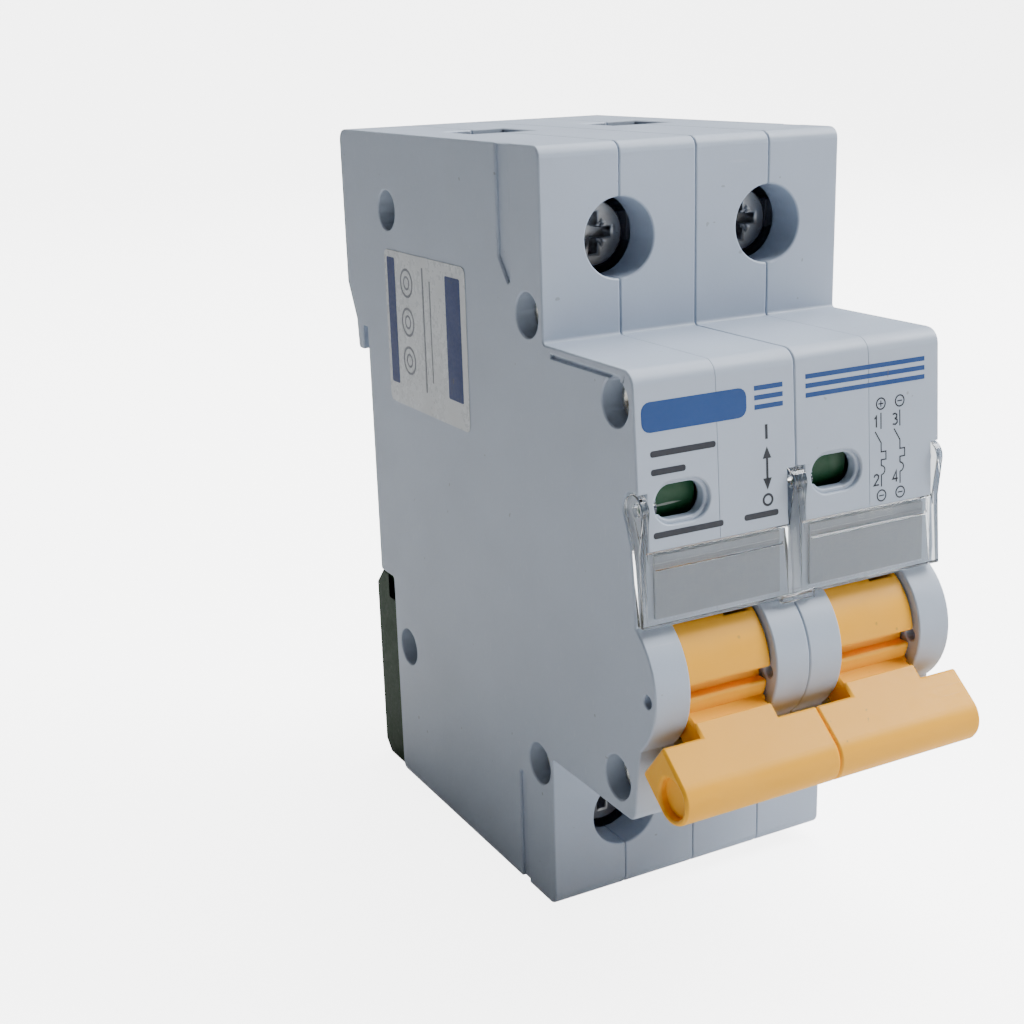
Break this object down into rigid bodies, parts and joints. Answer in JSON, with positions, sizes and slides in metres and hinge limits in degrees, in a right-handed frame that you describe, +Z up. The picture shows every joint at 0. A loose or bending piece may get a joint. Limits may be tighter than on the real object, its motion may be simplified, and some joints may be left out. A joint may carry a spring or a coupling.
{
  "type": "miniature circuit breaker",
  "caption": "Two-pole rail-mounted circuit breaker with tied handles, hinged marking cover, cage terminals, sprung rail clips and a working switch mechanism inside.",
  "frame": {"origin": "on the centre line of the 35 mm rail, in the plane of the front of its flanges, midway between the two poles", "axes": "+X along the rail, +Y back towards the rail, +Z up; the handle faces -Y"},
  "size_m": [0.0361, 0.0744, 0.0825],
  "materials": {
    "case_plastic": "fine spark-eroded texture, light cool grey",
    "handle_plastic": "satin moulded amber",
    "clip_plastic": "satin moulded dark green",
    "clear_cover": "clear polycarbonate",
    "paper": "blank marking card",
    "film": "printed film",
    "rivet_steel": "bright plated",
    "zinc_steel": "dark zinc plated",
    "spring_steel": "drawn wire",
    "iron": "plain plated iron",
    "copper": "half-bright copper",
    "coil_copper": "enamelled copper",
    "silver": "silver contact",
    "bimetal": "rolled",
    "dark_plastic": "moulded black",
    "flag_plastic": "green and red position flag",
    "fibre": "arc-proof fibre board"
  },
  "bodies": {
    "case": {"case_1_left": "case_plastic", "case_1_right": "case_plastic", "case_2_left": "case_plastic", "case_2_right": "case_plastic", "rivets": "rivet_steel", "side_label": "film", "fixed_contact_1": "copper", "fixed_contact_2": "copper", "fixed_contact_tips": "silver", "coil_1": "coil_copper", "coil_2": "coil_copper", "coil_frame_1": "iron", "coil_frame_2": "iron", "plunger_spring_1": "spring_steel", "plunger_spring_2": "spring_steel", "bimetal_1": "bimetal", "bimetal_2": "bimetal", "calibration_screws": "iron", "braid_1": "copper", "braid_2": "copper", "arc_plates_1": "iron", "arc_plates_2": "iron", "arc_cheeks_1": "fibre", "arc_cheeks_2": "fibre", "strap_upper_1": "copper", "strap_upper_2": "copper", "strap_lower_1": "copper", "strap_lower_2": "copper"},
    "cover": {"label_cover": "clear_cover", "label_insert_1": "paper", "label_insert_2": "paper"},
    "handle": {"handle_1": "handle_plastic", "handle_2": "handle_plastic", "handle_tie_pin": "iron", "handle_spring_1": "spring_steel", "handle_spring_2": "spring_steel"},
    "links": {"link_1": "spring_steel", "link_2": "spring_steel"},
    "contact_arms": {"contact_arm_1": "copper", "contact_arm_2": "copper", "moving_contact_1": "silver", "moving_contact_2": "silver"},
    "indicators": {"indicator_1": "flag_plastic", "indicator_2": "flag_plastic"},
    "trip_levers": {"trip_lever_1": "dark_plastic", "trip_lever_2": "dark_plastic", "trip_bar": "iron"},
    "plunger_1": {"plunger_1": "iron"},
    "plunger_2": {"plunger_2": "iron"},
    "screw_upper_1": {"screw_upper_1": "zinc_steel"},
    "cage_upper_1": {"cage_upper_1": "zinc_steel"},
    "screw_upper_2": {"screw_upper_2": "zinc_steel"},
    "cage_upper_2": {"cage_upper_2": "zinc_steel"},
    "screw_lower_1": {"screw_lower_1": "zinc_steel"},
    "cage_lower_1": {"cage_lower_1": "zinc_steel"},
    "screw_lower_2": {"screw_lower_2": "zinc_steel"},
    "cage_lower_2": {"cage_lower_2": "zinc_steel"},
    "din_clip_1": {"din_clip_1": "clip_plastic"},
    "din_clip_2": {"din_clip_2": "clip_plastic"}
  },
  "joints": [
    {"name": "handle_turn", "type": "hinge", "parent": "case", "child": "handle", "pos_m": [0, -0.0561, -0.0084], "axis": [-1, 0, 0], "range_deg": [0, 67.7], "stiffness_Nm_per_rad": 0.02, "springref_deg": -20.05, "deforming": ["handle_spring_1", "handle_spring_2"]},
    {"name": "link_turn", "type": "hinge", "parent": "handle", "child": "links", "pos_m": [0, -0.05315, -0.00634], "axis": [1, 0, 0], "range_deg": [0, 67.7]},
    {"name": "contact_arm_turn", "type": "hinge", "parent": "case", "child": "contact_arms", "pos_m": [0, -0.039, -0.001], "axis": [1, 0, 0], "range_deg": [0, 25.6], "deforming": ["braid_1", "braid_2"]},
    {"name": "indicator_turn", "type": "hinge", "parent": "case", "child": "indicators", "pos_m": [0, -0.05481, 0.01], "axis": [1, 0, 0], "range_deg": [0, 40.7]},
    {"name": "trip_turn", "type": "hinge", "parent": "case", "child": "trip_levers", "pos_m": [0, -0.0445, -0.017], "axis": [1, 0, 0], "range_deg": [0, 4]},
    {"name": "plunger_1_slide", "type": "slide", "parent": "case", "child": "plunger_1", "axis": [0, -1, 0], "range_m": [0, 0.0025], "stiffness_N_per_m": 30, "springref_m": -0.003, "deforming": ["plunger_spring_1"]},
    {"name": "plunger_2_slide", "type": "slide", "parent": "case", "child": "plunger_2", "axis": [0, -1, 0], "range_m": [0, 0.0025], "deforming": ["plunger_spring_2"]},
    {"name": "cover_hinge", "type": "hinge", "parent": "case", "child": "cover", "pos_m": [0, -0.0601, 0.0094], "axis": [-1, 0, 0], "range_deg": [0, 95]},
    {"name": "din_clip_1_slide", "type": "slide", "parent": "case", "child": "din_clip_1", "axis": [0, 0, -1], "range_m": [0, 0.0055], "stiffness_N_per_m": 500, "springref_m": -0.003},
    {"name": "din_clip_2_slide", "type": "slide", "parent": "case", "child": "din_clip_2", "axis": [0, 0, -1], "range_m": [0, 0.0055], "stiffness_N_per_m": 500, "springref_m": -0.003},
    {"name": "screw_upper_1_turn", "type": "hinge", "parent": "case", "child": "screw_upper_1", "pos_m": [-0.009, -0.036, 0.0319], "axis": [0, 1, 0], "range_deg": [0, 2520]},
    {"name": "cage_upper_1_slide", "type": "slide", "parent": "case", "child": "cage_upper_1", "axis": [0, -1, 0], "range_m": [0, 0.0056]},
    {"name": "screw_upper_2_turn", "type": "hinge", "parent": "case", "child": "screw_upper_2", "pos_m": [0.009, -0.036, 0.0319], "axis": [0, 1, 0], "range_deg": [0, 2520]},
    {"name": "cage_upper_2_slide", "type": "slide", "parent": "case", "child": "cage_upper_2", "axis": [0, -1, 0], "range_m": [0, 0.0056]},
    {"name": "screw_lower_1_turn", "type": "hinge", "parent": "case", "child": "screw_lower_1", "pos_m": [-0.009, -0.036, -0.0305], "axis": [0, 1, 0], "range_deg": [0, 2520]},
    {"name": "cage_lower_1_slide", "type": "slide", "parent": "case", "child": "cage_lower_1", "axis": [0, -1, 0], "range_m": [0, 0.0056]},
    {"name": "screw_lower_2_turn", "type": "hinge", "parent": "case", "child": "screw_lower_2", "pos_m": [0.009, -0.036, -0.0305], "axis": [0, 1, 0], "range_deg": [0, 2520]},
    {"name": "cage_lower_2_slide", "type": "slide", "parent": "case", "child": "cage_lower_2", "axis": [0, -1, 0], "range_m": [0, 0.0056]}
  ],
  "couplings": [
    {"joint": "link_turn", "follows": "handle_turn", "ratio": 1},
    {"joint": "contact_arm_turn", "follows": "handle_turn", "ratio": 0.378},
    {"joint": "indicator_turn", "follows": "handle_turn", "ratio": 0.6},
    {"joint": "plunger_2_slide", "follows": "plunger_1_slide", "ratio": 1},
    {"joint": "trip_turn", "follows": "plunger_1_slide", "rad_per_m": 27.9},
    {"joint": "screw_upper_1_turn", "follows": "cage_upper_1_slide", "rad_per_m": 7854},
    {"joint": "screw_upper_2_turn", "follows": "cage_upper_2_slide", "rad_per_m": 7854},
    {"joint": "screw_lower_1_turn", "follows": "cage_lower_1_slide", "rad_per_m": 7854},
    {"joint": "screw_lower_2_turn", "follows": "cage_lower_2_slide", "rad_per_m": 7854}
  ]
}
